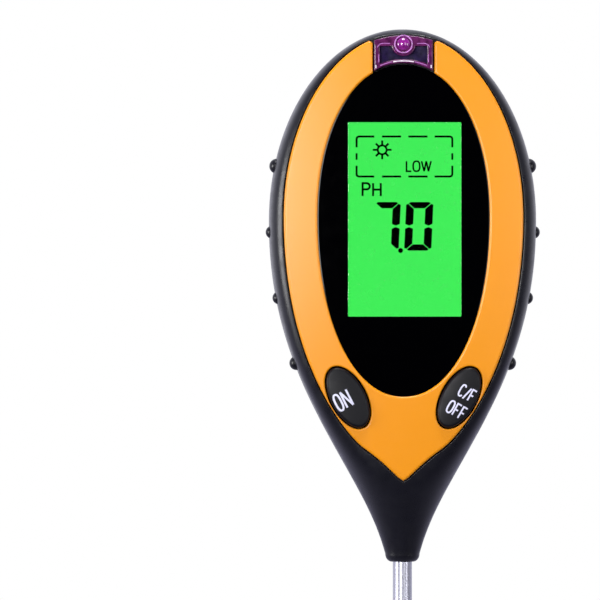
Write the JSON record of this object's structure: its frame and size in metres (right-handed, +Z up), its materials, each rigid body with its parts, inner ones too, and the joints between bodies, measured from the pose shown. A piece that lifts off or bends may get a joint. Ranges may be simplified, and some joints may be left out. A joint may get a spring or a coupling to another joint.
{
  "type": "soil moisture meter",
  "caption": "Hand-held soil meter: egg-shaped head with lit display, light sensor lens, two keys and a battery door, on one long straight metal probe.",
  "frame": {"origin": "point of the probe, where it stands in the soil", "axes": "+Z up along the probe to the head, -Y the way the display faces, +X to the right as seen from the front"},
  "size_m": [0.0632, 0.0358, 0.3225],
  "materials": {
    "black_shell": "satin moulded plastic",
    "orange_shell": "satin moulded plastic",
    "window_black": "polished, printed black behind",
    "lens_violet": "polished tinted moulding",
    "key_rubber": "fine matte",
    "grey_rubber": "matte",
    "neck_rubber": "smooth",
    "carbon": "matte",
    "board_green": "solder resist",
    "chip_black": "moulded epoxy",
    "lcd_green": "backlit display",
    "diffuser_white": "frosted",
    "holder_black": "moulded",
    "probe_steel": "polished",
    "screw_steel": "plated",
    "copper": "polished copper alloy",
    "brass": "turned",
    "insulator": "moulded",
    "battery_jacket": "printed metal jacket",
    "foam_grey": "soft foam",
    "wire_red": "extruded sleeve",
    "wire_black": "extruded sleeve",
    "epoxy_dark": "cast epoxy"
  },
  "bodies": {
    "housing": {"front_case": "black_shell", "rear_case": "black_shell", "face_plate": "orange_shell", "display_window": "window_black", "window_tape": "foam_grey", "sensor_lens": "lens_violet", "photodiode": "epoxy_dark", "key_mat": "grey_rubber", "on_key_web": "grey_rubber", "off_key_web": "grey_rubber", "circuit_board": "board_green", "controller_chip": "chip_black", "quartz_crystal": "screw_steel", "voltage_regulator": "chip_black", "capacitor": "screw_steel", "lcd_glass": "lcd_green", "backlight": "diffuser_white", "zebra_strip_top": "grey_rubber", "zebra_strip_bottom": "grey_rubber", "lcd_holder": "holder_black", "battery": "battery_jacket", "battery_snap": "holder_black", "battery_lead_red": "wire_red", "battery_lead_black": "wire_black", "case_screw_upper_left": "screw_steel", "case_screw_upper_right": "screw_steel", "case_screw_lower_left": "screw_steel", "case_screw_lower_right": "screw_steel", "board_screw_upper_left": "screw_steel", "board_screw_upper_right": "screw_steel", "board_screw_lower": "screw_steel", "probe_tube": "probe_steel", "insulator_upper": "insulator", "electrode": "copper", "insulator_lower": "insulator", "probe_tip": "probe_steel", "probe_collar": "brass", "neck_seal": "neck_rubber", "probe_lead_left": "wire_black", "probe_lead_right": "wire_red", "thermistor": "epoxy_dark"},
    "on_key": {"on_key": "key_rubber", "on_pill": "carbon"},
    "off_key": {"off_key": "key_rubber", "off_pill": "carbon"},
    "battery_door": {"battery_door": "black_shell", "battery_foam": "foam_grey"}
  },
  "joints": [
    {"name": "on_key_press", "type": "slide", "parent": "housing", "child": "on_key", "axis": [0, 1, 0], "range_m": [0, 0.001], "stiffness_N_per_m": 800, "deforming": ["on_key_web"]},
    {"name": "off_key_press", "type": "slide", "parent": "housing", "child": "off_key", "axis": [0, 1, 0], "range_m": [0, 0.001], "stiffness_N_per_m": 800, "deforming": ["off_key_web"]},
    {"name": "battery_door_swing", "type": "hinge", "parent": "housing", "child": "battery_door", "pos_m": [0, 0.0208, 0.2502], "axis": [-1, 0, 0], "range_deg": [0, 85]}
  ]
}
